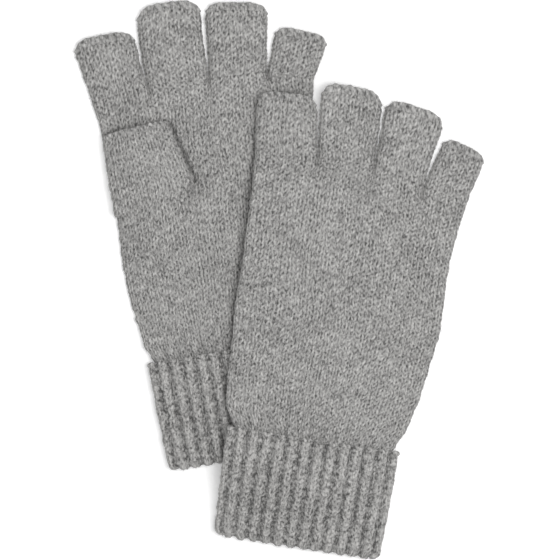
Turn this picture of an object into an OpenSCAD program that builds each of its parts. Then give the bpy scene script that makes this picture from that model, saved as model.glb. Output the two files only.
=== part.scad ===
// Pair of knitted fingerless gloves with turned-up rib cuffs, lying one over the other.
// The left glove lies palm up on the table. The right glove lies back up and laps over it.

/* [Hand] */
// Flat width of the hand across the knuckles
hand_w = 98; // [88:1:106]
// Length of the hand from the cuff's top edge to the finger crotches
hand_len = 126; // [116:1:136]
// Thickness of the plain knit
knit = 2.0; // [1.6:0.1:2.2]
// Free height inside a glove that lies flat
room = 4.8; // [4.5:0.1:6]

/* [Fingers] */
// Length of the index finger stub beyond its crotch
stub_len = 27; // [20:1:32]
// Length of the bound-off edge at each fingertip
edge_len = 3; // [2:0.5:4]

/* [Thumb] */
// Length of the free thumb tube
thumb_len = 33; // [24:1:36]
// Free height inside the thumb that lies on the palm
thumb_room = 4.5; // [4.4:0.1:5]
// Whole thickness of the thumb that is tucked under its palm
tucked_thumb = 4.6; // [4.2:0.1:4.8]

/* [Cuff] */
// Flat width of the turned-up cuff
cuff_w = 79.6; // [78:0.2:82]
// Height of the turned-up cuff
cuff_len = 50; // [40:1:52]
// Thickness of the rib's outer layer
rib_knit = 1.9; // [1.6:0.1:2.2]

/* [Lay] */
// Lean of the left glove from straight up
left_lean = -10; // [-11:0.5:-9]
// Lean of the right glove from straight up
right_lean = 9; // [8:0.5:10]

/* [Hidden] */

LEFT = 0;
RIGHT = 1;
INDEX = 0;
MIDDLE = 1;
RING = 2;
LITTLE = 3;
yarn = [0.60, 0.60, 0.59];
rib_yarn = [0.55, 0.55, 0.54];

// Side of the palm on each glove: 1 is up, -1 is down
palm_side = [1, -1];
lean = [left_lean, right_lean];
// Middle of the cuff's top edge on the table
wrist_at = [[-20.8, -30.9], [15.9, -71.8]];

// Half heights of the flat tubes
hand_half = room / 2 + knit;
ply_gap = 0.55;
cuff_half = hand_half + ply_gap + rib_knit;
thumb_half = [thumb_room / 2 + knit, tucked_thumb / 2];
thumb_knit = [knit, 1.8];
lift_gap = 0.3;
joint_gap = 0.35;

// Scale of the outlines below, which are drawn for a hand 98 wide and 126 long
sx = hand_w / 98;
sy = hand_len / 126;
stub_k = stub_len / 27;
thumb_k = thumb_len / 33;

// Side edges of each hand, as [distance from the cuff's top, edge position]
wrist_in = cuff_w / 2 - rib_knit - ply_gap - 1.3;
edge_left = [
    [[-5, -wrist_in], [0, -wrist_in], [8, -39.5], [22, -41.4], [50, -43], [84, -42], [108, -42], [121, -44.2]],
    [[-5, -wrist_in], [0, -wrist_in], [9, -41.5], [22, -43], [60, -44.4], [100, -45.3], [124, -46.8]],
];
edge_right = [
    [[-5, wrist_in], [0, wrist_in], [9, 41], [24, 44.5], [52, 48.5], [84, 50.5], [101, 54], [114.5, 57.4]],
    [[-5, wrist_in], [0, wrist_in], [9, 41], [24, 44.5], [54, 49.2], [90, 49.4], [104, 50.2], [117, 52.4]],
];
// Crotch line of each hand, from the index side to the little finger side
crotch = [
    [[-44.2, 121], [-17.5, 125.3], [9.8, 123.2], [37.4, 121.6], [57.4, 114.5]],
    [[-46.8, 124], [-18.1, 126.6], [8.2, 127.6], [32, 121.2], [52.4, 117]],
];
// Left and right corners of each fingertip, and the height of its curved end
tip = [
    [[[-47.9, 147.3], [-18.8, 147.4], 4.4], [[-17.9, 156.8], [12.7, 155.8], 4.6],
        [[14.1, 155.4], [43.0, 148.8], 3.4], [[43.9, 139.8], [66.8, 129.8], 3.2]],
    [[[-49.2, 150], [-22.4, 151.2], 3.0], [[-21.6, 157], [7.5, 156.4], 4.8],
        [[8.9, 155.6], [36.4, 150], 4.2], [[37.8, 143.2], [57, 137], 2.6]],
];
// Corners of each thumb: base left, base right, tip left, tip right
thumb_at = [
    [[-43.2, 68], [-4.6, 76.5], [-41.4, 105.6], [-11.6, 107.6]],
    [[-41.5, 68], [-6, 75.5], [-40, 99.5], [-12, 102.5]],
];
thumb_sag = 0.8;
// Lower end of each thumb gusset
gusset_at = [[[-39.5, 34], [-27, 32]], [[-40, 43], [-29, 45]]];

// Counts of the grid cells in the fabric
side_cells = 3;
finger_cells = 5;
hand_rows = 12;
tube_rows = 3;
tube_flat = 6;
tube_cap = 6;
cuff_flat = 20;
cuff_rows = 5;
// Cells of the palm's thumb opening: first and last row, first and last column
thumb_hole = [5, 5, side_cells + 1, side_cells + 4];

function mix(a, b, t) = a + (b - a) * t;
function ease(a, b, x) = let (t = max(0, min(1, (x - a) / (b - a)))) t * t * (3 - 2 * t);
function unit(v) = v / norm(v);
function stretched(p) = [p.x * sx, p.y * sy];

// Height that the right glove rises to pass over the left one, in its own outline's places
over_cuff = 14.1;
over_fingers = 9.2;
fall_from = [[-50, 11], [0, 11], [55, 2], [97, -4], [108, -8], [124, -20], [160, -22]];
fall_over = [[-50, 27], [0, 27], [55, 38], [97, 36], [108, 34], [124, 28], [160, 28]];
function rise(x, y) =
    let (
        top = mix(over_cuff, over_fingers, ease(113, 124, y)) * ease(-54, -13, y),
        from = lookup(y, fall_from)
    )
    top * (1 - ease(from, from + lookup(y, fall_over), x));

// Place of a point [across, along, height] of glove g on the table
function lay(g, p) =
    let (a = lean[g], q = wrist_at[g], up = g == RIGHT ? rise(p.x, p.y) : 0)
    [q.x + p.x * cos(a) + p.y * sin(a), q.y - p.x * sin(a) + p.y * cos(a), p.z + up];

// Height of a hand's middle layer: the wrist lies higher, inside the cuff
function mid_height(y) = mix(cuff_half, hand_half, ease(1, 27, y));

// Section of a flat tube, as [side from -1 to 1, angle round its edge]
function ring(flat, cap) = concat(
    [for (k = [0:flat - 1]) [-1 + 2 * k / flat, 90]],
    [for (k = [0:cap - 1]) [1, 90 - 180 * k / cap]],
    [for (k = [0:flat - 1]) [1 - 2 * k / flat, -90]],
    [for (k = [0:cap - 1]) [-1, -90 - 180 * k / cap]]
);
// Section of an arch, open below
function arch(flat, cap) = concat(
    [for (k = [0:cap - 1]) [-1, 180 - 90 * k / cap]],
    [for (k = [0:flat]) [-1 + 2 * k / flat, 90]],
    [for (k = [1:cap]) [1, 90 - 90 * k / cap]]
);

// Thick sheet between two grids of points. A wrapped grid closes on itself, and cut leaves cells open.
module thick_sheet(outer, inner, wrapped, cut = [0, -1, 0, -1]) {
    rows = len(outer);
    cols = len(outer[0]);
    last = wrapped ? cols - 1 : cols - 2;
    function there(i, j) =
        i >= 0 && i <= rows - 2 && (wrapped || (j >= 0 && j <= last))
        && !(i >= cut[0] && i <= cut[1] && j >= cut[2] && j <= cut[3]);
    function at(layer, i, j) = (layer * rows + i) * cols + (j + cols) % cols;
    function quad(a, b, c, d) = [[a, b, c], [a, c, d]];
    faces = [
        for (i = [0:rows - 2], j = [0:last])
            if (there(i, j)) each concat(
                quad(at(0, i, j), at(0, i + 1, j), at(0, i + 1, j + 1), at(0, i, j + 1)),
                quad(at(1, i, j), at(1, i, j + 1), at(1, i + 1, j + 1), at(1, i + 1, j)),
                there(i - 1, j) ? [] : quad(at(0, i, j), at(0, i, j + 1), at(1, i, j + 1), at(1, i, j)),
                there(i + 1, j) ? []
                    : quad(at(0, i + 1, j + 1), at(0, i + 1, j), at(1, i + 1, j), at(1, i + 1, j + 1)),
                there(i, j - 1) ? [] : quad(at(0, i + 1, j), at(0, i, j), at(1, i, j), at(1, i + 1, j)),
                there(i, j + 1) ? []
                    : quad(at(0, i, j + 1), at(0, i + 1, j + 1), at(1, i + 1, j + 1), at(1, i, j + 1))
            )
    ];
    polyhedron(concat([for (row = outer) each row], [for (row = inner) each row]), faces);
}

// Grid of a flat tube of glove g between two pairs of corners, from share v0 to v1 of its length
function tube_grid(g, base, end, sag, half, inset, height, section, rows, v0 = 0, v1 = 1) = [
    for (i = [0:rows])
        let (
            v = mix(v0, v1, i / rows),
            a = mix(base[0], end[0], v),
            b = mix(base[1], end[1], v),
            across = unit(b - a),
            along = [-across.y, across.x],
            flat_half = norm(b - a) / 2 - half
        )
        [for (s = section)
            let (
                x = s.x * flat_half + (half - inset) * cos(s.y),
                bow = sag * v * v * (1 - pow(x / (flat_half + half), 2)),
                p = (a + b) / 2 + across * x + along * bow
            )
            lay(g, [p.x, p.y, height + (half - inset) * sin(s.y)])]
];
module tube(g, base, end, sag, half, wall, height, v0 = 0, v1 = 1, rows = tube_rows, flat = tube_flat) {
    section = ring(flat, tube_cap);
    thick_sheet(
        tube_grid(g, base, end, sag, half, 0, height, section, rows, v0, v1),
        tube_grid(g, base, end, sag, half, wall, height, section, rows, v0, v1),
        true
    );
}

// Corners of a finger's base and tip
side_gap = 0.35;
function finger_base(g, k) =
    let (
        a = stretched(crotch[g][k]),
        b = stretched(crotch[g][k + 1]),
        across = unit(b - a),
        along = [-across.y, across.x]
    )
    [a + across * (k == INDEX ? 0 : side_gap) + along * joint_gap,
        b - across * (k == LITTLE ? 0 : side_gap) + along * joint_gap];
function finger_tip(g, k) =
    let (base = finger_base(g, k))
    [for (n = [0:1]) base[n] + (stretched(tip[g][k][n]) - base[n]) * stub_k];
function finger_length(g, k) = norm(finger_tip(g, k)[0] - finger_base(g, k)[0]);

module finger(g, k) {
    edge_share = 1 - edge_len / finger_length(g, k);
    color(yarn) tube(g, finger_base(g, k), finger_tip(g, k), tip[g][k][2], hand_half, knit,
        hand_half, 0, edge_share);
}
module finger_edge(g, k) {
    edge_share = 1 - edge_len / finger_length(g, k);
    color(yarn) tube(g, finger_base(g, k), finger_tip(g, k), tip[g][k][2], hand_half, knit,
        hand_half, edge_share, 1, 1);
}

// Thumb, on the palm's outer side
function palm_face(g) = hand_half + palm_side[g] * hand_half;
function thumb_height(g) = palm_face(g) + palm_side[g] * (lift_gap + thumb_half[g]);
function thumb_base(g) =
    let (
        a = stretched(thumb_at[g][0]),
        b = stretched(thumb_at[g][1]),
        across = unit(b - a)
    )
    [for (p = [a, b]) p + [-across.y, across.x] * joint_gap];
function thumb_tip(g) =
    [for (n = [0:1]) thumb_base(g)[n] + (stretched(thumb_at[g][n + 2]) - thumb_base(g)[n]) * thumb_k];
thumb_edge_share = 1 - edge_len / thumb_len;

module thumb(g) {
    color(yarn) tube(g, thumb_base(g), thumb_tip(g), thumb_sag, thumb_half[g], thumb_knit[g],
        thumb_height(g), 0, thumb_edge_share);
}
module thumb_edge(g) {
    color(yarn) tube(g, thumb_base(g), thumb_tip(g), thumb_sag, thumb_half[g], thumb_knit[g],
        thumb_height(g), thumb_edge_share, 1, 1);
}

// Gusset: an arch of knit over the palm that grows into the thumb
gusset_flat = 6;
gusset_cap = 3;
gusset_rows = 4;
gusset_start = 2.3;
function gusset_grid(g, inset) =
    let (
        reach = lift_gap + 2 * thumb_half[g],
        end = [stretched(thumb_at[g][0]), stretched(thumb_at[g][1])],
        start = [for (p = gusset_at[g]) stretched(p)],
        round = thumb_half[g]
    )
    [for (i = [0:gusset_rows])
        let (
            v = i / gusset_rows,
            a = mix(start[0], end[0], v),
            b = mix(start[1], end[1], v),
            across = unit(b - a),
            flat_half = norm(b - a) / 2 - round,
            high = mix(gusset_start, reach, ease(0, 1, v))
        )
        [for (s = arch(gusset_flat, gusset_cap))
            let (
                p = (a + b) / 2 + across * (s.x * flat_half + (round - inset) * cos(s.y)),
                z = palm_face(g) + palm_side[g] * (high - inset) * sin(s.y)
            )
            lay(g, [p.x, p.y, z])]];
module thumb_gusset(g) {
    outer = gusset_grid(g, 0);
    inner = gusset_grid(g, knit - 0.2);
    color(yarn) if (g == LEFT) thick_sheet(outer, inner, false);
    else thick_sheet(inner, outer, false);
}

// Hand: two faces of one flat tube, which meet along its side edges
function knuckle(g, n) =
    let (
        k = min(3, floor(n / finger_cells)),
        t = n / finger_cells - k,
        a = stretched(crotch[g][k]) + [k == 0 ? hand_half : 0, 0],
        b = stretched(crotch[g][k + 1]) - [k == 3 ? hand_half : 0, 0]
    )
    mix(a, b, t);
hand_cols = 4 * finger_cells;
hand_foot = -5;
function hand_section() = concat(
    [for (k = [0:side_cells - 1]) [0, 180 - 90 * k / side_cells]],
    [for (n = [0:hand_cols]) [n, 90]],
    [for (k = [1:side_cells]) [hand_cols, 90 - 90 * k / side_cells]]
);
function hand_grid(g, side, inset) =
    let (
        first = knuckle(g, 0),
        last = knuckle(g, hand_cols)
    )
    [for (i = [0:hand_rows])
        let (
            v = i / hand_rows,
            x0 = lookup(mix(hand_foot, first.y, v) / sy, edge_left[g]) * sx + hand_half,
            x1 = lookup(mix(hand_foot, last.y, v) / sy, edge_right[g]) * sx - hand_half
        )
        [for (s = hand_section())
            let (
                k = knuckle(g, s.x),
                share = (k.x - first.x) / (last.x - first.x),
                y = mix(hand_foot, k.y, v),
                x = mix(x0, x1, share) + (hand_half - inset) * cos(s.y)
            )
            lay(g, [x, y, mid_height(y) + side * (hand_half - inset) * sin(s.y)])]];
module hand_face(g, side, cut = [0, -1, 0, -1]) {
    outer = hand_grid(g, side, 0);
    inner = hand_grid(g, side, knit);
    if (side > 0) thick_sheet(outer, inner, false, cut);
    else thick_sheet(inner, outer, false, cut);
}
module hand_back(g) color(yarn) hand_face(g, -palm_side[g]);
module hand_palm(g) color(yarn) hand_face(g, palm_side[g], thumb_hole);

// Cuff: an inner layer, an outer layer turned up over it, a rolled fold and a free edge
fold_len = 2.6;
hem_len = 3;
function cuff_line(y, half_w) = [[-half_w, y], [half_w, y]];
module cuff_part(g, from, to, half_w, half, wall, rows)
    color(rib_yarn) tube(g, cuff_line(from, half_w), cuff_line(to, half_w), 0, half, wall, cuff_half,
        0, 1, rows, cuff_flat);
module cuff_inner(g)
    cuff_part(g, fold_len + 0.2 - cuff_len, hand_foot - 0.2, cuff_w / 2 - rib_knit - ply_gap, hand_half,
        knit, cuff_rows);
module cuff_outer(g)
    cuff_part(g, fold_len - cuff_len, -hem_len, cuff_w / 2, cuff_half, rib_knit, cuff_rows);
module cuff_edge(g)
    cuff_part(g, -hem_len, 0, cuff_w / 2, cuff_half, rib_knit, 1);
module cuff_fold(g)
    cuff_part(g, -cuff_len, fold_len - cuff_len, cuff_w / 2, cuff_half, cuff_half - room / 2, 1);

hand_back(LEFT);  // left_hand_back
hand_palm(LEFT);  // left_hand_palm
thumb_gusset(LEFT);  // left_thumb_gusset
thumb(LEFT);  // left_thumb
thumb_edge(LEFT);  // left_thumb_edge
finger(LEFT, INDEX);  // left_index_finger
finger_edge(LEFT, INDEX);  // left_index_edge
finger(LEFT, MIDDLE);  // left_middle_finger
finger_edge(LEFT, MIDDLE);  // left_middle_edge
finger(LEFT, RING);  // left_ring_finger
finger_edge(LEFT, RING);  // left_ring_edge
finger(LEFT, LITTLE);  // left_little_finger
finger_edge(LEFT, LITTLE);  // left_little_edge
cuff_inner(LEFT);  // left_cuff_inner
cuff_outer(LEFT);  // left_cuff_outer
cuff_edge(LEFT);  // left_cuff_edge
cuff_fold(LEFT);  // left_cuff_fold
hand_back(RIGHT);  // right_hand_back
hand_palm(RIGHT);  // right_hand_palm
thumb_gusset(RIGHT);  // right_thumb_gusset
thumb(RIGHT);  // right_thumb
thumb_edge(RIGHT);  // right_thumb_edge
finger(RIGHT, INDEX);  // right_index_finger
finger_edge(RIGHT, INDEX);  // right_index_edge
finger(RIGHT, MIDDLE);  // right_middle_finger
finger_edge(RIGHT, MIDDLE);  // right_middle_edge
finger(RIGHT, RING);  // right_ring_finger
finger_edge(RIGHT, RING);  // right_ring_edge
finger(RIGHT, LITTLE);  // right_little_finger
finger_edge(RIGHT, LITTLE);  // right_little_edge
cuff_inner(RIGHT);  // right_cuff_inner
cuff_outer(RIGHT);  // right_cuff_outer
cuff_edge(RIGHT);  // right_cuff_edge
cuff_fold(RIGHT);  // right_cuff_fold
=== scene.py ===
"""Looks of a pair of knitted fingerless gloves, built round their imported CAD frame.

Every knitted piece is a thick sheet of fabric: a smooth surface whose outer skin carries the stitches
as real relief, and a plain inner skin. Sizes are in millimetres until lay() puts them in the frame.
"""

import math

import bpy
import numpy as np
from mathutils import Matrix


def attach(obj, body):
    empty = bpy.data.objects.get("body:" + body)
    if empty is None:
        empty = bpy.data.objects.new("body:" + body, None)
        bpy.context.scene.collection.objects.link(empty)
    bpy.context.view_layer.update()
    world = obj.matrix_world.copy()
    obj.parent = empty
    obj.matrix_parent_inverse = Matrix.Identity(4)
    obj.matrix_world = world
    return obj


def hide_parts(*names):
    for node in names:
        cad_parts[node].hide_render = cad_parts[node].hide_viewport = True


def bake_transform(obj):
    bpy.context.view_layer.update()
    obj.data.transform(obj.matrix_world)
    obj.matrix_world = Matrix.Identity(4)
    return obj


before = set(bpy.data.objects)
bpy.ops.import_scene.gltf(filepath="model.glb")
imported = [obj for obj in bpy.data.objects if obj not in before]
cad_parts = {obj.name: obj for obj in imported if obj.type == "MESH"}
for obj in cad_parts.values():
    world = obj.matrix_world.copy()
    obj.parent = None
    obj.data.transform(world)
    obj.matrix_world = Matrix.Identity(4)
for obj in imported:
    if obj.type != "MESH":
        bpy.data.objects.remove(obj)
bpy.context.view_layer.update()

LEFT, RIGHT = 0, 1
SIDES = ("left", "right")
FINGERS = ("index", "middle", "ring", "little")
SEED = 7

# Driving sizes in mm, the same as the CAD model's, in each glove's own outline: x across, y along,
# from the middle of its cuff's top edge
LEAN = (-10.0, 9.0)
WRIST_AT = ((-20.8, -30.9), (15.9, -71.8))
CUFF_W, CUFF_LEN = 79.6, 50.0
HAND_FOOT = -5.0
WRIST_IN = 36.05
# Left and right edge of each hand, as (y, x)
EDGE_LEFT = (
    ((-5, -WRIST_IN), (0, -WRIST_IN), (8, -39.5), (22, -41.4),
     (50, -43), (84, -42), (108, -42), (121, -44.2)),
    ((-5, -WRIST_IN), (0, -WRIST_IN), (9, -41.5), (22, -43),
     (60, -44.4), (100, -45.3), (124, -46.8)),
)
EDGE_RIGHT = (
    ((-5, WRIST_IN), (0, WRIST_IN), (9, 41), (24, 44.5),
     (52, 48.5), (84, 50.5), (101, 54), (114.5, 57.4)),
    ((-5, WRIST_IN), (0, WRIST_IN), (9, 41), (24, 44.5),
     (54, 49.2), (90, 49.4), (104, 50.2), (117, 52.4)),
)
# Ends of each finger's foot, from the index to the little finger's side on the page
CROTCH = (
    ((-44.2, 121), (-17.5, 125.3), (9.8, 123.2), (37.4, 121.6), (57.4, 114.5)),
    ((-46.8, 124), (-18.1, 126.6), (8.2, 127.6), (32, 121.2), (52.4, 117)),
)
# Left and right corner of each fingertip, and the height of its curved end
TIP = (
    (((-47.9, 147.3), (-18.8, 147.4), 4.4), ((-17.9, 156.8), (12.7, 155.8), 4.6),
     ((14.1, 155.4), (43.0, 148.8), 3.4), ((43.9, 139.8), (66.8, 129.8), 3.2)),
    (((-49.2, 150), (-22.4, 151.2), 3.0), ((-21.6, 157), (7.5, 156.4), 4.8),
     ((8.9, 155.6), (36.4, 150), 4.2), ((37.8, 143.2), (57, 137), 2.6)),
)
# Corners of each thumb: base left, base right, tip left, tip right
THUMB_AT = (
    ((-43.2, 68), (-4.6, 76.5), (-41.4, 105.6), (-11.6, 107.6)),
    ((-41.5, 68), (-6, 75.5), (-40, 99.5), (-12, 102.5)),
)
THUMB_SAG = 0.8
EDGE_LEN = 3.0
# How high the right glove lies over the left cuff and hand, and where it falls to the table at each y
OVER_CUFF, OVER_FINGERS = 14.1, 9.2
FALL_FROM = ((-50, 11), (0, 11), (55, 2), (97, -4), (108, -8), (124, -20), (160, -22))
FALL_OVER = ((-50, 27), (0, 27), (55, 38), (97, 36), (108, 34), (124, 28), (160, 28))

# Gauge of the knit: wales in each finger's share of the hand, length of a course, ridges, thickness
SECTOR_WALES = ((8, 8, 8, 6), (8, 8, 7, 6))
COURSE = 2.05
RIBS = 14
KNIT = 1.7

# Cells of the fabric grids. The inner skin keeps every COARSE-th row and column
PER_COURSE = 4
FINGER_COLS = 64
THUMB_COLS = 96
RIB_COLS = 14
COARSE = 4


# --- small maths -------------------------------------------------------------------------------

def mix(a, b, t):
    return a + (b - a) * t


def ease(low, high, x):
    t = np.clip((x - low) / (high - low), 0.0, 1.0)
    return t * t * (3 - 2 * t)


def table(points, x):
    return np.interp(x, [p[0] for p in points], [p[1] for p in points])


def waves(seed, length, count=9):
    """A smooth random field over the plane with values of about -1 to 1 and bumps about length wide."""
    rng = np.random.default_rng(seed)
    turn = rng.uniform(0, 2 * math.pi, count)
    pace = 2 * math.pi / (length * rng.uniform(1.4, 2.8, count))
    phase = rng.uniform(0, 2 * math.pi, count)

    def field(x, y):
        total = 0
        for t, k, p in zip(turn, pace, phase):
            total = total + np.sin(k * (x * math.cos(t) + y * math.sin(t)) + p)
        return total / math.sqrt(count)

    return field


def rise(x, y):
    """How high the right glove lies over the left one."""
    top = mix(OVER_CUFF, OVER_FINGERS, ease(113, 129, y)) * ease(-54, -13, y)
    start = table(FALL_FROM, y)
    return top * (1 - ease(start, start + table(FALL_OVER, y), x))


# Slow and fine unevenness of the way the knit lies
WARP = [[waves(SEED + 10 * g + n, 22) for n in range(2)] for g in range(2)]
RUFFLE = [[waves(SEED + 20 + 10 * g + n, 3.2, 14) for n in range(2)] for g in range(2)]


def lay(g, x, y, z):
    """Places points of glove g, across, along and above its own outline, in the frame, in metres."""
    a = math.radians(LEAN[g])
    up = rise(x, y) if g == RIGHT else 0.0
    free = ease(2, 30, y)
    wx = x + 0.35 * WARP[g][0](x, y) * free + 0.15 * RUFFLE[g][0](x, y)
    wy = y + 0.25 * WARP[g][1](x, y) * free + 0.15 * RUFFLE[g][1](x, y)
    out = np.stack(np.broadcast_arrays(
        WRIST_AT[g][0] + wx * math.cos(a) + wy * math.sin(a),
        WRIST_AT[g][1] - wx * math.sin(a) + wy * math.cos(a),
        z + up), axis=-1)
    return out / 1000


# --- sections ----------------------------------------------------------------------------------

def section(half, low, side, rounding, crown, q, upper):
    """Half of a flat tube's section at share q of its length from left to right, as (across, height).

    The lower half lies flat at height low, and the upper one swells by crown in the middle.
    """
    turn = np.linspace(0, math.pi / 2, 14)
    flat = np.linspace(0, 1, 60)[1:-1]
    x = np.concatenate([
        -half + rounding * (1 - np.cos(turn)),
        mix(-half + rounding, half - rounding, flat),
        half - rounding * (1 - np.cos(turn[::-1]))])
    lift = np.concatenate([np.sin(turn), np.ones(len(flat)), np.sin(turn[::-1])])
    if upper:
        z = side + lift * (rounding + crown * (1 - (x / half) ** 2))
    else:
        z = side - lift * (side - low)
    step = np.hypot(np.diff(x), np.diff(z))
    length = np.concatenate([[0], np.cumsum(step)])
    at = np.asarray(q) * length[-1]
    return np.interp(at, length, x), np.interp(at, length, z)


def hand_shape(y):
    """(low, side, rounding, crown) of the hand's section at y: it rises into its cuff at the wrist."""
    wrist = 1 - ease(1, 27, y)
    return mix(0.0, 2.3, wrist), mix(2.3, 5.6, wrist), mix(2.3, 2.6, wrist), mix(3.7, 1.6, wrist)


def finger_shape(v):
    """The same of a finger, at share v of its length."""
    return 0.0, 2.3, 2.3, mix(2.6, 2.1, v)


# --- stitches ----------------------------------------------------------------------------------

_rng = np.random.default_rng(SEED)
UNEVEN = _rng.random((4, 64, 64))


def uneven(kind, w, c):
    """A random number of each stitch, from -1 to 1."""
    return 2 * UNEVEN[kind, np.floor(w).astype(int) % 64, np.floor(c).astype(int) % 64] - 1


def jersey(w, c):
    """Relief of plain knit at wale w and course c: columns of V stitches, from 0 in the gaps to 1."""
    side = np.abs(w - np.floor(w) - 0.5 + 0.03 * uneven(0, w, c))
    height = np.zeros(np.broadcast(w, c).shape)
    for rows_ago in (0, 1):
        s = (c - np.floor(c) + rows_ago) / 1.32
        centre = 0.06 + 0.38 * np.clip(s, 0, 1)
        across = np.clip(1 - ((side - centre) / 0.18) ** 2, 0, 1)
        along = np.sin(math.pi * np.clip(s, 0, 1))
        height = np.maximum(height, np.sqrt(across) * np.clip(along, 0, 1) ** 0.4)
    return height * (1 + 0.18 * uneven(1, w, c))


def rib(w, c):
    """Relief of one-by-one rib: a column of V stitches on each ridge and purl bumps between."""
    r = w - np.floor(w) - 0.5
    ridge = np.cos(math.pi / 2 * np.clip(np.abs(r) / 0.4, 0, 1)) ** 0.8
    knit = jersey(np.clip(r / 0.62, -0.499, 0.499) + np.floor(w) + 0.5, c)
    purl = 0.5 + 0.5 * np.cos(2 * math.pi * c)
    return ridge, knit * (ridge > 0) * ridge, purl * (1 - ridge)


# Heights of the relief in mm
JERSEY_RELIEF = 0.6
RIDGE_RELIEF = 1.0
RIB_STITCH_RELIEF = 0.62
PURL_RELIEF = 0.1


# --- meshes ------------------------------------------------------------------------------------

def normals(grid, wrapped):
    """Unit normals of a grid of points, rows x columns, to the left of its columns' way."""
    if wrapped:
        ring = np.concatenate([grid[:, -2:-1], grid, grid[:, 1:2]], axis=1)
        across = ring[:, 2:] - ring[:, :-2]
    else:
        across = np.gradient(grid, axis=1)
    along = np.gradient(grid, axis=0)
    n = np.cross(across, along)
    return n / np.maximum(np.linalg.norm(n, axis=-1, keepdims=True), 1e-12)


def zipper(fine, coarse):
    """Triangles between two rows of vertex numbers that run side by side, where fine has more."""
    many = (len(fine) - 1) // (len(coarse) - 1)
    faces = []
    for k in range(len(coarse) - 1):
        run = fine[k * many:(k + 1) * many + 1]
        half = many // 2
        faces += [(coarse[k], run[n + 1], run[n]) for n in range(half)]
        faces.append((coarse[k], coarse[k + 1], run[half]))
        faces += [(coarse[k + 1], run[n + 1], run[n]) for n in range(half, many)]
    return faces


def grid_faces(index):
    a, b = index[:-1, :-1], index[:-1, 1:]
    c, d = index[1:, 1:], index[1:, :-1]
    return np.stack([a, b, c, d], axis=-1).reshape(-1, 4)


def make_mesh(name, points, faces, stitch, relief, flat_faces=0):
    """A mesh object with its stitch coordinates as a UV map and its relief, the level of painted shade in
    the stitches' gaps, as an attribute.
    """
    mesh = bpy.data.meshes.new(name)
    mesh.from_pydata(points.tolist(), [], [list(f) for f in faces])
    mesh.update()
    corner = np.empty(len(mesh.loops), np.int32)
    mesh.loops.foreach_get("vertex_index", corner)
    layer = mesh.uv_layers.new(name="stitch")
    layer.data.foreach_set("uv", stitch[corner].astype(np.float32).ravel())
    # The attribute relief carries the level of painted shade that the yarn materials read
    attribute = mesh.attributes.new("relief", "FLOAT", "POINT")
    attribute.data.foreach_set("value", relief.astype(np.float32))
    smooth = np.ones(len(mesh.polygons), bool)
    smooth[len(smooth) - flat_faces:] = False
    mesh.polygons.foreach_set("use_smooth", smooth)
    obj = bpy.data.objects.new(name, mesh)
    bpy.context.scene.collection.objects.link(obj)
    return obj


# Loose fibres: number per mm2, lean off the fabric in radians, sizes and least height in metres
FUZZ = 0.85
FIBRE_LEAN = (0.25, 1.2)
FIBRE_LEN = (0.0007, 0.0022)
FIBRE_RADIUS = 0.000055
FIBRE_ROOT = 0.0001
FIBRE_LOWEST = 0.00005
# Levels in the painted shade attribute: the fibres' lies above the unshaded level, so they are painted
# lighter, and the inner skin's just below it, so it is painted a little darker
FIBRE_SHADE_LEVEL = 0.8
LINING_SHADE_LEVEL = 0.5
_fuzz_rng = np.random.default_rng(SEED + 1)


def fuzz(points, n, stitch):
    """Short loose fibres on a grid of points in metres: thin spikes, each closed."""
    a, b = points[1:, :-1] - points[:-1, :-1], points[:-1, 1:] - points[:-1, :-1]
    area = np.linalg.norm(np.cross(a, b), axis=-1).ravel() * 1e6
    count = int(area.sum() * FUZZ)
    cell = _fuzz_rng.choice(len(area), count, p=area / area.sum())
    i, j = np.divmod(cell, points.shape[1] - 1)
    at = points[i, j] + a[i, j] * _fuzz_rng.random((count, 1)) + b[i, j] * _fuzz_rng.random((count, 1))
    up = n[i, j]
    side = np.cross(up, _fuzz_rng.normal(size=(count, 3)))
    side /= np.linalg.norm(side, axis=1, keepdims=True)
    lean = _fuzz_rng.uniform(*FIBRE_LEAN, (count, 1))
    way = up * np.sin(lean) + side * np.cos(lean)
    length = _fuzz_rng.uniform(*FIBRE_LEN, (count, 1))
    other = np.cross(up, side)
    corners = [at - up * FIBRE_ROOT + (side * math.cos(k) + other * math.sin(k)) * FIBRE_RADIUS
               for k in (0, 2 * math.pi / 3, 4 * math.pi / 3)]
    verts = np.stack([*corners, at + way * length], axis=1).reshape(-1, 3)
    verts[:, 2] = np.maximum(verts[:, 2], FIBRE_LOWEST)
    first = 4 * np.arange(count)[:, None]
    faces = np.concatenate([first + np.array(f) for f in ((0, 1, 3), (1, 2, 3), (2, 0, 3), (0, 2, 1))])
    return verts, faces, np.repeat(stitch[i, j], 4, axis=0)


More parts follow.
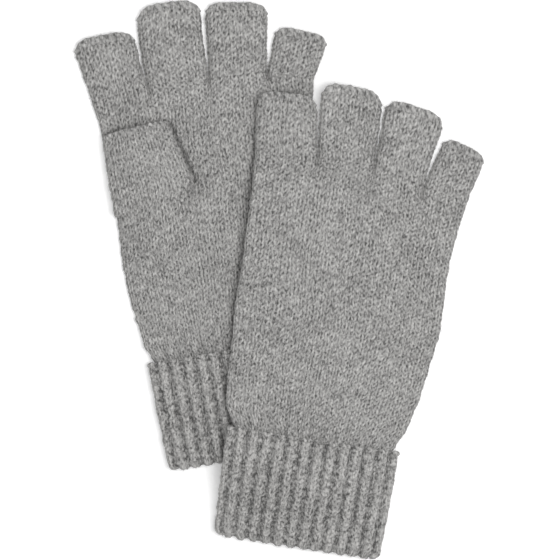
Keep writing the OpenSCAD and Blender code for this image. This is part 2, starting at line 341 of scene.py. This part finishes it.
def fabric(name, base, height, relief, w, c, thickness, wrapped, outward):
    """A thick sheet of knit on a grid of points in metres. height is the outer skin's relief in mm, and
    relief sets the painted shade of each point, darker in the gaps between stitches.

    outward is 1 where the grid's own normals point out of the fabric, and -1 where they point in.
    """
    n = normals(base, wrapped) * outward
    outer = base + n * height[..., None] / 1000
    inner = (base - n * thickness / 1000)[::COARSE, ::COARSE]
    rows, cols = outer.shape[:2]
    r2, c2 = inner.shape[:2]
    index = np.arange(rows * cols).reshape(rows, cols)
    index2 = rows * cols + np.arange(r2 * c2).reshape(r2, c2)
    if wrapped:
        index[:, -1] = index[:, 0]
        index2[:, -1] = index2[:, 0]
    skin, lining = grid_faces(index), grid_faces(index2)[:, ::-1]
    rims = zipper(index[0].tolist(), index2[0].tolist())
    rims += zipper(index[-1][::-1].tolist(), index2[-1][::-1].tolist())
    if not wrapped:
        rims += zipper(index[::-1, 0].tolist(), index2[::-1, 0].tolist())
        rims += zipper(index[:, -1].tolist(), index2[:, -1].tolist())
    faces = skin.tolist() + lining.tolist() + rims
    if outward < 0:
        faces = [f[::-1] for f in faces]
    points = np.concatenate([outer.reshape(-1, 3), inner.reshape(-1, 3)])
    stitch = np.stack(np.broadcast_arrays(w, c), axis=-1)
    stitch = np.concatenate([stitch.reshape(-1, 2), stitch[::COARSE, ::COARSE].reshape(-1, 2)])
    # Painted shade levels: the outer skin's from relief, the inner skin's a flat level a little darker
    value = np.concatenate([relief.ravel(), np.full(r2 * c2, LINING_SHADE_LEVEL)])
    if wrapped:
        used = np.ones(len(points), bool)
        used[(np.arange(rows) + 1) * cols - 1] = False
        used[rows * cols + (np.arange(r2) + 1) * c2 - 1] = False
        place = np.cumsum(used) - 1
        faces = [[int(place[i]) for i in f] for f in faces]
        points, stitch, value = points[used], stitch[used], value[used]
    grown, tufts, where = fuzz(outer, n, np.stack(np.broadcast_arrays(w, c), axis=-1))
    smooth = len(faces) - len(rims)
    faces = [*faces[:smooth], *(tufts + len(points)).tolist(), *faces[smooth:]]
    points = np.concatenate([points, grown])
    stitch = np.concatenate([stitch, where])
    # The loose fibres get a lighter painted level
    value = np.concatenate([value, np.full(len(grown), FIBRE_SHADE_LEVEL)])
    return make_mesh(name, points, faces, stitch, value, len(rims))


def band(name, ring_at, profile, relief, w, c, painted_shade, joined=0):
    """A closed ring of fabric whose cross-section is profile, a loop of (along, out) in mm.

    Its row joined goes on from the outer skin of the piece beside it.
    """
    base = np.stack([ring_at(a) + out_of(ring_at, a) * n / 1000 for a, n in profile])
    loop = np.concatenate([base[-1:], base, base[:1]])
    n = normals(loop, True)[1:-1]
    n[joined] = out_of(ring_at, profile[joined][0])
    points = base + n * relief[..., None] / 1000
    rows, cols = points.shape[:2]
    index = np.arange(rows * (cols - 1)).reshape(rows, cols - 1)
    index = np.concatenate([index, index[:, :1]], axis=1)
    index = np.concatenate([index, index[:1]], axis=0)
    faces = grid_faces(index).tolist()
    grid_stitch = np.stack(np.broadcast_arrays(w, c), axis=-1)
    grown, tufts, where = fuzz(points, n, grid_stitch)
    body = points[:, :-1].reshape(-1, 3)
    faces += (tufts + len(body)).tolist()
    # Painted shade level of each point of the ring, then the fibres' level
    painted_shades = np.broadcast_to(painted_shade, (rows, cols))[:, :-1].ravel()
    value = np.concatenate([painted_shades, np.full(len(grown), FIBRE_SHADE_LEVEL)])
    stitch = np.concatenate([grid_stitch[:, :-1].reshape(-1, 2), where])
    return make_mesh(name, np.concatenate([body, grown]), faces, stitch, value)


def out_of(ring_at, a):
    """Outward normals of a tube at along a."""
    near = np.stack([ring_at(a - 0.4), ring_at(a), ring_at(a + 0.4)])
    return normals(near, True)[1]


# --- hands -------------------------------------------------------------------------------------

# Courses of plain knit from the cuff to the crotches
COURSES = 61


def crotch_shares(g):
    x = np.array([p[0] for p in CROTCH[g]], float)
    return (x - x[0]) / (x[-1] - x[0])


def top_at(half, shape, x):
    """Height of the upper half of a tube's section at x from its middle."""
    _, side, rounding, crown = shape
    out = np.clip((np.abs(x) - half + rounding) / rounding, 0, 1)
    return side + np.sqrt(1 - out ** 2) * (rounding + crown * (1 - np.clip(x / half, -1, 1) ** 2))


def palm_top(g, x, y):
    """Height of the hand's upper face, without its edge's droop."""
    left, right = table(EDGE_LEFT[g], y), table(EDGE_RIGHT[g], y)
    half = (right - left) / 2
    off = np.clip(x - (left + right) / 2, 1.4 - half, half - 1.4)
    return top_at(half, hand_shape(60), off)


# Section of each thumb, as (low, side, rounding, crown), from the palm or below the hand's underside
THUMB_SHAPE = ((0.5, 4.5, 1.7, 2.5), (-3.8, -2.4, 1.7, 0.3))
TUCKED_SWELL = 4.4
CREASE_DEPTH, CREASE_WIDTH, CREASE_OFF = 3.0, 1.5, 0.5
GUSSET_FOOT = (((-40.5, 26), (-24, 24)), ((-41, 40), (-27, 41)))


def swelling(g, x, y):
    """How far the gusset lifts the palm at x and y: it grows up to the thumb's base and ends inside it."""
    base_left, base_right = THUMB_AT[g][:2]
    foot_left, foot_right = GUSSET_FOOT[g]
    base_y = mix(base_left[1], base_right[1], (x - base_left[0]) / (base_right[0] - base_left[0]))
    v = np.clip((y - foot_left[1]) / (base_y - foot_left[1]), 0, 1)
    left = mix(foot_left[0], base_left[0], v)
    right = mix(foot_right[0], base_right[0], v)
    half = (right - left) / 2
    off = x - (left + right) / 2
    if g == LEFT:
        full = top_at(half, THUMB_SHAPE[g], off)
    else:
        full = TUCKED_SWELL + 0 * x
    dome = np.clip(1 - (off / half) ** 2, 0, 1)
    skirt = 1 - ease(-3, 5, off - half)
    shape = mix(dome * np.max(full), full * skirt, v ** 4)
    past = 1 - ease(0.2, mix(2.6, 3.6, ease(-3, 3, off - half)), y - base_y)
    edge = ease(0.0, 2.5, x - table(EDGE_LEFT[g], y))
    return shape * ease(0, 1, v) ** 1.3 * past * edge


def crease(x, y):
    """Depth of the fold in the palm along the inner side of the thumb that lies on it."""
    foot, tip = THUMB_AT[LEFT][1], THUMB_AT[LEFT][3]
    off = x - mix(foot[0], tip[0], (y - foot[1]) / (tip[1] - foot[1]))
    along = ease(67, 80, y) * (1 - ease(tip[1] - 3, tip[1] + 1, y))
    return CREASE_DEPTH * np.exp(-((off - CREASE_OFF) / CREASE_WIDTH) ** 2) * along


# Soft bumps and creases of each hand's upper face, and their heights in mm
BUMPY = [waves(SEED + 40 + 3 * g, 19) for g in range(2)]
CREASED = [waves(SEED + 60 + g, 34) for g in range(2)]
BUMP, SOFT_CREASE = 0.32, 0.4
PUCKER = 0.95
CROTCH_SHARE = 0.89


def hand_grid(g, upper):
    """Points of a hand face in its outline, and each column's finger and share of that finger."""
    rows, cols = COURSES * PER_COURSE + 1, 4 * FINGER_COLS + 1
    u, v = np.linspace(0, 1, cols), np.linspace(0, 1, rows)
    sector = np.minimum(3, (4 * u).astype(int))
    t = 4 * u - sector
    f = crotch_shares(g)
    crotch_y = np.array([p[1] for p in CROTCH[g]], float)
    lobe_share, lobe_z = np.empty(cols), np.empty(cols)
    for k in range(4):
        here = sector == k
        half = math.dist(CROTCH[g][k], CROTCH[g][k + 1]) / 2
        x, z = section(half, *finger_shape(0), t[here], upper)
        lobe_share[here] = mix(f[k], f[k + 1], (x / half + 1) / 2)
        lobe_z[here] = z
    even = np.interp(u, np.arange(5) / 4, f)
    px, py, pz = (np.empty((rows, cols)) for _ in range(3))
    for i, vi in enumerate(v):
        yl, yr = mix(HAND_FOOT, crotch_y[0], vi), mix(HAND_FOOT, crotch_y[-1], vi)
        xl, xr = table(EDGE_LEFT[g], yl), table(EDGE_RIGHT[g], yr)
        half = (xr - xl) / 2
        x, z = section(half, *hand_shape((yl + yr) / 2), even, upper)
        m = ease(CROTCH_SHARE, 1, vi) ** 1.4
        share = mix((x / half + 1) / 2, lobe_share, m)
        top_y = np.interp(share, f, crotch_y) - mix(crotch_y[0], crotch_y[-1], share)
        px[i] = mix(xl, xr, share)
        py[i] = mix(yl, yr, share) + ease(0.35, 1, vi) * top_y
        pz[i] = mix(z, lobe_z, m)
    return px, py, pz, v, sector, t


def hand_face(g, upper):
    """The upper or lower face of a hand, with the gusset knitted in one with the palm."""
    px, py, pz, v, sector, t = hand_grid(g, upper)
    facing = 1 if upper else -1
    ribs = np.cos(2 * math.pi * RIBS * (px / CUFF_W + 0.5))
    pz += facing * PUCKER * ribs * (1 - ease(1, 14, py))
    if upper:
        free = ease(8, 40, py) * (1 - ease(100, 118, py))
        bumps = BUMP * BUMPY[g](px, py) + SOFT_CREASE * CREASED[g](px, py)
        pz += free * bumps * np.clip((pz - 3) / 4, 0, 1)
    if facing == (1 if g == LEFT else -1):
        pz += facing * swelling(g, px, py)
    if g == LEFT and upper:
        pz -= crease(px, py)
    base = lay(g, px, py, pz)
    start = np.concatenate([[0], np.cumsum(SECTOR_WALES[g])])[:-1]
    wales = np.array(SECTOR_WALES[g])
    grown = 0.5 * ease(CROTCH_SHARE, 1, v)[:, None] ** 1.4
    w = start[sector] + wales[sector] / 2 + (wales[sector] + 2 * grown) * (t - 0.5)
    c = np.broadcast_to((v * COURSES)[:, None], w.shape)
    relief = jersey(w, c)
    part = "hand_back" if (upper == (g == RIGHT)) else "hand_palm"
    name = f"{SIDES[g]}_{part}"
    height = JERSEY_RELIEF * (relief - 0.6)
    obj = fabric(name + "_knit", base, height, relief, w, c, KNIT, False, facing)
    covered = [name] + ([f"{SIDES[g]}_thumb_gusset"] if part == "hand_palm" else [])
    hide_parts(*covered)
    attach(obj, f"{SIDES[g]}_glove")
    return obj


# --- fingers and thumbs ------------------------------------------------------------------------

def both_halves(half, shape, cols):
    """A tube's whole section as (across, height), from its left side over the top and back below."""
    q = np.linspace(0, 1, cols + 1)
    x1, z1 = section(half, *shape, q, True)
    x2, z2 = section(half, *shape, 1 - q, False)
    return np.concatenate([x1, x2[1:]]), np.concatenate([z1, z2[1:]])


CORNER_DROP = 0.3
CORNER_ROUND = 0.35
FINGER_GAP = (0.35, 0.0)


def tube_at(g, base, end, sag, shape_at, cols, pinch, above=None):
    """A function of the distance along the tube in mm that gives its ring of points."""
    base, end = np.array(base, float), np.array(end, float)
    length = np.linalg.norm(end.mean(0) - base.mean(0))

    def ring_at(a):
        v = a / length
        left, right = mix(base[0], end[0], v), mix(base[1], end[1], v)
        across = (right - left) / np.linalg.norm(right - left)
        rounded = CORNER_ROUND * ease(0.86, 1.06, v) ** 2
        left = left + across * (pinch[0] * ease(0, 0.45, v) + rounded)
        right = right - across * (pinch[1] * ease(0, 0.45, v) + rounded)
        half = np.linalg.norm(right - left) / 2
        x, z = both_halves(half, shape_at(v), cols)
        along = np.array([-across[1], across[0]])
        edge = np.abs(x / half)
        bow = np.clip(v, 0, 2) ** 2 * (sag * (1 - edge ** 4.6) - CORNER_DROP * edge ** 8)
        point = (left + right) / 2 + across * x[:, None] + along * bow[:, None]
        if above is not None:
            z = z + above(point[:, 0], point[:, 1])
        return lay(g, point[:, 0], point[:, 1], z)

    return ring_at, length


# Bound-off edges: radius of the roll, how far it lies inside the tube's skin, groove below it
ROLL, TUCKED_ROLL = 1.1, 1.0
RIM_INSET, RIM_GROOVE = KNIT / 2 + 0.2, 0.3
RIM_TURN_STEPS, RIM_SIDE_STEPS = 14, 7
# Wales across each face of a thumb, and the course where its stitches start
THUMB_WALES, THUMB_COURSE = 12, 36


def rim_profile(length, roll, inset, groove):
    """Cross-section of a bound-off edge as a loop of (along, out): out over the roll and back inside."""
    turn = np.linspace(math.pi / 2, -math.pi / 2, RIM_TURN_STEPS)
    middle = length - roll
    sides = np.linspace(0, middle, RIM_SIDE_STEPS)
    outer = [(a, -groove * math.sin(math.pi * a / middle)) for a in sides[:-1]]
    over = [(middle + roll * math.cos(k), roll * math.sin(k) - inset) for k in turn]
    inner = [(a, -inset - roll) for a in np.linspace(middle, 0, RIM_SIDE_STEPS)[1:]]
    return outer + over + inner


def rim_relief(profile, w, length, roll):
    """Slanted loops of the bound-off chain over the roll, as heights and as a painted shade that is darker
    between the loops.
    """
    a = np.array([p[0] for p in profile])[:, None]
    out = np.array([p[1] for p in profile])[:, None]
    on_roll = ease(length - 2.2 * roll, length - 1.2 * roll, a)
    slant = (a - length) / 3.2 + out / 7
    loop = np.abs(np.sin(math.pi * (w[None, :] + slant)))
    # The second value is painted shade: lighter over each loop, darker between them on the roll, a flat
    # level elsewhere
    return on_roll * (loop ** 0.6 - 0.6) * 0.7, mix(0.5, 0.1 + 0.62 * loop, on_roll)


def make_tube(g, part, edge_part, body, base, end, sag, shape_at, cols, w, first, roll,
              pinch, above=None):
    """A knitted tube from base to end and its bound-off edge."""
    ring_at, length = tube_at(g, base, end, sag, shape_at, cols, pinch, above)
    courses = round((length - EDGE_LEN) / COURSE)
    rows = courses * PER_COURSE + 1
    along = np.linspace(0, length - EDGE_LEN, rows)
    grid = np.stack([ring_at(a) for a in along])
    c = first + np.linspace(0, courses, rows)[:, None] + 0 * w[None, :]
    ww = np.broadcast_to(w, c.shape)
    relief = jersey(ww, c)
    name = f"{SIDES[g]}_{part}"
    obj = fabric(name + "_knit", grid, JERSEY_RELIEF * (relief - 0.6), relief, ww, c, KNIT, True, 1)
    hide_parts(name)
    b0, b1 = (lay(g, *p, 0.0) for p in base)
    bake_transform(obj)
    rim = rim_profile(EDGE_LEN, roll, RIM_INSET, RIM_GROOVE)
    height, painted_shade = rim_relief(rim, w, EDGE_LEN, roll)
    profile = [(length - EDGE_LEN + a, n) for a, n in rim]
    rim_c = first + courses + np.array([p[0] for p in rim])[:, None] / COURSE + 0 * w[None, :]
    rim_w = np.broadcast_to(w, rim_c.shape)
    edge_name = f"{SIDES[g]}_{edge_part}"
    edge = band(edge_name + "_bound", ring_at, profile, height, rim_w, rim_c, painted_shade)
    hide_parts(edge_name)
    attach(edge, f"{SIDES[g]}_{body}")
    return obj, edge


def finger(g, k):
    """Stub k of a glove, counted from the index finger."""
    t = np.linspace(0, 1, FINGER_COLS + 1)
    wales = SECTOR_WALES[g][k]
    start = sum(SECTOR_WALES[g][:k]) - 0.5
    upper = start + (wales + 1) * t
    w = np.concatenate([upper, upper[-1] + (wales + 1) * t[1:]])
    base = (CROTCH[g][k], CROTCH[g][k + 1])
    corner_left, corner_right, sag = TIP[g][k]
    return make_tube(g, f"{FINGERS[k]}_finger", f"{FINGERS[k]}_edge", f"{FINGERS[k]}_stub", base,
                     (corner_left, corner_right), sag, finger_shape, FINGER_COLS, w, COURSES,
                     ROLL, (FINGER_GAP[g] * (k > 0), FINGER_GAP[g] * (k < 3)))


def thumb(g):
    """The left thumb lies on the upper face of its palm, and the right one is tucked under its palm."""
    w = np.linspace(0, 2 * THUMB_WALES, 2 * THUMB_COLS + 1)
    corners = THUMB_AT[g]

    def shape_at(v):
        return THUMB_SHAPE[g]

    def above(x, y):
        return palm_top(g, x, y)

    return make_tube(g, "thumb", "thumb_edge", "thumb_tube", corners[:2], corners[2:], THUMB_SAG,
                     shape_at, THUMB_COLS, w, THUMB_COURSE, ROLL if g == LEFT else TUCKED_ROLL,
                     (0, 0), above if g == LEFT else None)


# --- cuffs -------------------------------------------------------------------------------------

# Lengths of the free edge and of the fold, and half the thickness of the fold
HEM_LEN, FOLD_LEN, FOLD_DEPTH = 3.0, 2.6, 2.15
HEM_ROLL, HEM_INSET = 1.15, 0.45
CUFF_SHAPE = (0.95, 6.0, 3.9, 2.6)
LINING_SHAPE = (2.9, 6.6, 2.9, 1.5)
LINING_IN, LINING_ROWS, LINING_KNIT = 3.0, 45, 1.4
RIB_COURSES = 23
# Where the random stitches of the outer and the inner layer start
OUTER_COURSE, LINING_COURSE = 100, 140


def rib_taper(y):
    """How much narrower half a cuff is at y than at its top edge."""
    return 0.9 * ease(-12, -50, y)


def outer_half(y):
    return CUFF_W / 2 - 0.5 - rib_taper(y) - 1.6 * ease(-45, -51, y) ** 2


def lining_half(y):
    return CUFF_W / 2 - LINING_IN - rib_taper(y)


def cuff_ring(g, half_at, shape):
    """A function of y that gives the cuff's ring of points there."""
    def ring_at(y):
        x, z = both_halves(half_at(y), shape, RIBS * RIB_COLS)
        return lay(g, x, y + 0 * x, z)

    return ring_at


def rib_height(w, c):
    """Relief in mm of the rib, and its painted shade: lighter on the ridges and their stitches, darker in
    the grooves and gaps.
    """
    ridge, knit, purl = rib(w, c)
    height = (RIDGE_RELIEF * (ridge - 0.6) + RIB_STITCH_RELIEF * (knit - 0.5 * ridge)
              + PURL_RELIEF * (purl - 0.5) * (ridge < 0.5))
    # Painted shade: lighter on the ridges and their V stitches, darker in the purl grooves between them,
    # where shade falls
    painted_shade = np.clip(0.16 + 0.36 * ridge + 0.5 * knit + 0.05 * purl, 0, 1)
    return height, painted_shade


def cuff_layer(g, part, ring_at, y, w, first, share, thickness):
    """A layer of the cuff along y, with its relief times share."""
    c = (y / COURSE)[:, None] + 0 * w[None, :] + first
    ww = np.broadcast_to(w, c.shape)
    height, painted_shade = rib_height(ww, c)
    name = f"{SIDES[g]}_{part}"
    grid = np.stack([ring_at(v) for v in y])
    layer = fabric(name + "_rib", grid, share * height, painted_shade, ww, c, thickness, True, 1)
    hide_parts(name)
    return layer


def cuff_edge(g, ring_at, w):
    """The free edge, bound off over the ribs."""
    profile = [(a - HEM_LEN, n) for a, n in rim_profile(HEM_LEN, HEM_ROLL, HEM_INSET, 0.0)]
    a = np.array([p[0] for p in profile])[:, None]
    c = a / COURSE + OUTER_COURSE + 0 * w[None, :]
    ww = np.broadcast_to(w, c.shape)
    height, painted_shade = rib_height(ww, c)
    fade = ease(-1.6, -0.2, a)
    loops = np.abs(np.sin(2 * math.pi * (w[None, :] + a / 9)))
    bound_height = 0.8 * height + 0.16 * (loops ** 0.7 - 0.5)
    # Painted shade of the bound-off loops: lighter on each loop, darker between them
    bound_painted_shade = 0.8 * painted_shade + 0.28 * loops
    outside = np.array([1.0 if p[1] > -0.8 else 0.0 for p in profile])[:, None]
    relief = mix(height, bound_height, fade) * (0.3 + 0.7 * outside)
    edge = band(f"{SIDES[g]}_cuff_edge_bound", ring_at, profile, relief, ww, c, mix(painted_shade, bound_painted_shade, fade))
    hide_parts(f"{SIDES[g]}_cuff_edge")
    return edge


def cuff_fold(g, ring_at, w):
    """The fold at the bottom, where the ribs turn under."""
    foot = FOLD_LEN - CUFF_LEN
    turn = np.linspace(math.pi / 2, -math.pi / 2, 17)
    loop = [(foot - FOLD_LEN * math.cos(k), FOLD_DEPTH * (math.sin(k) - 1)) for k in turn]
    back = [(foot + 0.02, n - 2 * FOLD_DEPTH) for n in np.linspace(0, 2 * FOLD_DEPTH, 7)[1:-1]]
    profile = (loop + back)[::-1]
    on_fold = np.array([0.0] * len(back) + [1.0] * len(loop))[:, None]
    out = np.array([p[1] for p in profile])[:, None]
    c = foot / COURSE + OUTER_COURSE + out / COURSE + 0 * w[None, :]
    ww = np.broadcast_to(w, c.shape)
    height, painted_shade = rib_height(ww, c)
    relief = height * on_fold * mix(0.5, 1.0, ease(-2 * FOLD_DEPTH, -0.9 * FOLD_DEPTH, out))
    fold = band(f"{SIDES[g]}_cuff_fold_rib", ring_at, profile, relief, ww, c, painted_shade, -1)
    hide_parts(f"{SIDES[g]}_cuff_fold")
    return fold


def cuff(g):
    """A cuff's outer layer, free edge, fold and inner layer, in the order that they draw fibres in."""
    w = np.linspace(0, 2 * RIBS, 2 * RIBS * RIB_COLS + 1)
    ring_at = cuff_ring(g, outer_half, CUFF_SHAPE)
    y = np.linspace(FOLD_LEN - CUFF_LEN, -HEM_LEN, RIB_COURSES * PER_COURSE + 1)
    outer = cuff_layer(g, "cuff_outer", ring_at, y, w, OUTER_COURSE, 1.0, KNIT)
    edge = cuff_edge(g, ring_at, w)
    fold = cuff_fold(g, ring_at, w)
    lining_at = cuff_ring(g, lining_half, LINING_SHAPE)
    y = np.linspace(FOLD_LEN + 0.2 - CUFF_LEN, HAND_FOOT - 0.2, LINING_ROWS)
    lining = cuff_layer(g, "cuff_inner", lining_at, y, w, LINING_COURSE, 0.5, LINING_KNIT)
    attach(lining, f"{SIDES[g]}_glove")
    if g == LEFT:
        for piece in (outer, edge, fold):
            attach(piece, "left_glove")
    else:
        # Turned down, the edge stays at the wrist and the fold slides off; the ribs between them are baked
        # into the frame
        top, bottom = lay(g, 0.0, 0.0, 6.0), lay(g, 0.0, -CUFF_LEN, 6.0)
        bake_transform(outer)
        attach(edge, "right_glove")
        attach(fold, "right_cuff_turnup")
    return outer, lining, fold, edge


# --- materials ---------------------------------------------------------------------------------

# Weight of each noise in the mix of dark and light wool
FLECK_SHARE, STITCH_SHARE, MOTTLE_SHARE, STRAND_SHARE = 1.45, 0.55, 0.35, 1.35
# Level of the relief attribute that the painted gap shade leaves as it is: lower levels are painted darker,
# higher ones lighter
UNSHADED_RELIEF = 0.6


def yarn_material(name, dark, light, fleck, per_wale, gap_shade_strength, spread):
    """Melange wool: flecks along the wales, broad mottling, painted shade in the gaps between stitches and
    a fine fibre bump.

    fleck is the flecks' number per wale and per course, per_wale the patches' per wale, gap_shade_strength
    how much darker the painted shade makes the gaps between stitches, and spread how far the noises spread
    the mix of dark and light wool.
    """
    mat = bpy.data.materials.new(name)
    mat.use_nodes = True
    nodes, links = mat.node_tree.nodes, mat.node_tree.links
    nodes.clear()

    def add(kind, **inputs):
        node = nodes.new(kind)
        for key, value in inputs.items():
            node.inputs[key.replace("_", " ")].default_value = value
        return node

    out = add("ShaderNodeOutputMaterial")
    shader = add("ShaderNodeBsdfPrincipled", Roughness=0.93)
    shader.inputs["Specular IOR Level"].default_value = 0.12
    shader.inputs["Sheen Weight"].default_value = 0.28
    shader.inputs["Sheen Roughness"].default_value = 0.45
    shader.inputs["Sheen Tint"].default_value = (0.9, 0.9, 0.9, 1)
    links.new(shader.outputs[0], out.inputs[0])
    uv = nodes.new("ShaderNodeUVMap")
    uv.uv_map = "stitch"

    def noise(source, scale, size, detail, seed):
        shift = nodes.new("ShaderNodeMapping")
        shift.inputs["Scale"].default_value = scale
        shift.inputs["Location"].default_value = (seed, 1.7 * seed, 0.3 * seed)
        links.new(source, shift.inputs["Vector"])
        tex = nodes.new("ShaderNodeTexNoise")
        tex.inputs["Scale"].default_value = size
        tex.inputs["Detail"].default_value = detail
        tex.inputs["Roughness"].default_value = 0.6
        links.new(shift.outputs[0], tex.inputs["Vector"])
        return tex.outputs["Fac"]

    def maths(kind, a, b, clamp=False):
        node = nodes.new("ShaderNodeMath")
        node.operation = kind
        node.use_clamp = clamp
        for socket, value in zip(node.inputs, (a, b)):
            if isinstance(value, (int, float)):
                socket.default_value = value
            else:
                links.new(value, socket)
        return node.outputs[0]

    coords = nodes.new("ShaderNodeTexCoord")
    flecks = noise(uv.outputs[0], (fleck[0], fleck[1], 1), 1.0, 3.0, 3.1)
    stitches = noise(uv.outputs[0], (1.15 * per_wale, 0.75, 1), 1.0, 1.5, 9.4)
    mottle = noise(coords.outputs["Object"], (1, 1, 1), 70.0, 3.0, 5.2)
    fibre = noise(coords.outputs["Object"], (1, 0.45, 1), 2600.0, 3.0, 1.3)
    strands = noise(coords.outputs["Object"], (1, 0.4, 1), 1350.0, 2.0, 7.7)
    relief = nodes.new("ShaderNodeAttribute")
    relief.attribute_name = "relief"
    total = maths("MULTIPLY", maths("SUBTRACT", flecks, 0.5), FLECK_SHARE * spread)
    for field, weight in ((stitches, STITCH_SHARE), (mottle, MOTTLE_SHARE), (strands, STRAND_SHARE)):
        total = maths("ADD", total, maths("MULTIPLY", maths("SUBTRACT", field, 0.5), weight * spread))
    # Painted shade: the colour darkens where the relief attribute is low, in the gaps between stitches and
    # ridges
    painted_gap_shade = maths("MULTIPLY", maths("SUBTRACT", relief.outputs["Fac"], UNSHADED_RELIEF), gap_shade_strength)
    total = maths("ADD", total, painted_gap_shade)
    share = maths("ADD", total, 0.5, True)
    ramp = nodes.new("ShaderNodeMix")
    ramp.data_type = "RGBA"
    links.new(share, ramp.inputs[0])
    ramp.inputs[6].default_value = (*dark, 1)
    ramp.inputs[7].default_value = (*light, 1)
    links.new(ramp.outputs[2], shader.inputs["Base Color"])
    bump = nodes.new("ShaderNodeBump")
    bump.inputs["Strength"].default_value = 0.55
    bump.inputs["Distance"].default_value = 0.00025
    links.new(maths("ADD", fibre, maths("MULTIPLY", flecks, 0.8)), bump.inputs["Height"])
    links.new(bump.outputs[0], shader.inputs["Normal"])
    rough = maths("ADD", maths("MULTIPLY", fibre, 0.14), 0.84, True)
    links.new(rough, shader.inputs["Roughness"])
    return mat


# The last but one number of each sets how strongly the gaps between stitches are painted darker, as shade
PLAIN = yarn_material("plain_knit", (0.09, 0.089, 0.087), (0.6, 0.593, 0.58),
                      (4.2, 1.1), 1, 0.42, 1.05)
RIBBED = yarn_material("rib_knit", (0.08, 0.079, 0.077), (0.56, 0.553, 0.54),
                       (6.5, 1.4), 2.2, 0.62, 1.25)
BOUND = yarn_material("bound_edge", (0.1, 0.099, 0.097), (0.61, 0.603, 0.59),
                      (4.2, 1.1), 1, 0.6, 1.05)


def dress(obj, material):
    obj.data.materials.append(material)


for g in (LEFT, RIGHT):
    for upper in (False, True):
        dress(hand_face(g, upper), PLAIN)
    for k in range(4):
        tube_piece, edge_piece = finger(g, k)
        dress(tube_piece, PLAIN)
        dress(edge_piece, BOUND)
    tube_piece, edge_piece = thumb(g)
    dress(tube_piece, PLAIN)
    dress(edge_piece, BOUND)
    for piece in cuff(g):
        dress(piece, RIBBED)


# --- studio ------------------------------------------------------------------------------------

def floor_material():
    mat = bpy.data.materials.new("paper")
    mat.use_nodes = True
    shader = mat.node_tree.nodes["Principled BSDF"]
    shader.inputs["Base Color"].default_value = (0.95, 0.95, 0.95, 1)
    shader.inputs["Roughness"].default_value = 0.9
    shader.inputs["Specular IOR Level"].default_value = 0.0
    shader.inputs["Emission Color"].default_value = (1, 1, 1, 1)
    shader.inputs["Emission Strength"].default_value = 0.3
    return mat


FLOOR_SIZE, FLOOR_DROP = 6, 0.0002
bpy.ops.mesh.primitive_plane_add(size=FLOOR_SIZE, location=(0, 0, -FLOOR_DROP))
floor = bpy.context.object
floor.name = "floor"
floor.data.materials.append(floor_material())

world = bpy.data.worlds.new("studio")
bpy.context.scene.world = world
world.use_nodes = True
world.node_tree.nodes["Background"].inputs[0].default_value = (1, 1, 1, 1)
world.node_tree.nodes["Background"].inputs[1].default_value = 0.5


def area_light(name, place, size, power):
    """A square light at place in metres that faces the middle of the table."""
    data = bpy.data.lights.new(name, "AREA")
    data.shape = "SQUARE"
    data.size = size
    data.energy = power
    obj = bpy.data.objects.new(name, data)
    bpy.context.scene.collection.objects.link(obj)
    obj.location = place
    direction = -np.array(place)
    yaw = math.atan2(direction[1], direction[0])
    pitch = math.acos(-direction[2] / np.linalg.norm(direction))
    obj.rotation_euler = (pitch, 0, yaw - math.pi / 2)


area_light("key", (0.27, -0.06, 1.25), 0.42, 9)
area_light("fill", (-0.5, 0.9, 1.2), 1.2, 2)

# The camera looks straight down. It sees VIEW_WIDTH of the table, and stands above the cuffs' mean height
VIEW_CENTRE = (0.00066, 0.00061)
VIEW_WIDTH = 0.2548
VIEW_DISTANCE, MEAN_HEIGHT = 3.0, 0.013
SENSOR = 36
camera_data = bpy.data.cameras.new("camera")
camera_data.sensor_width = SENSOR
camera_data.lens = SENSOR * VIEW_DISTANCE / VIEW_WIDTH
camera_data.clip_start = 0.1
camera_data.clip_end = 20
camera = bpy.data.objects.new("camera", camera_data)
camera.location = (*VIEW_CENTRE, VIEW_DISTANCE + MEAN_HEIGHT)
bpy.context.scene.collection.objects.link(camera)
bpy.context.scene.camera = camera
bpy.context.scene.view_settings.view_transform = "Standard"
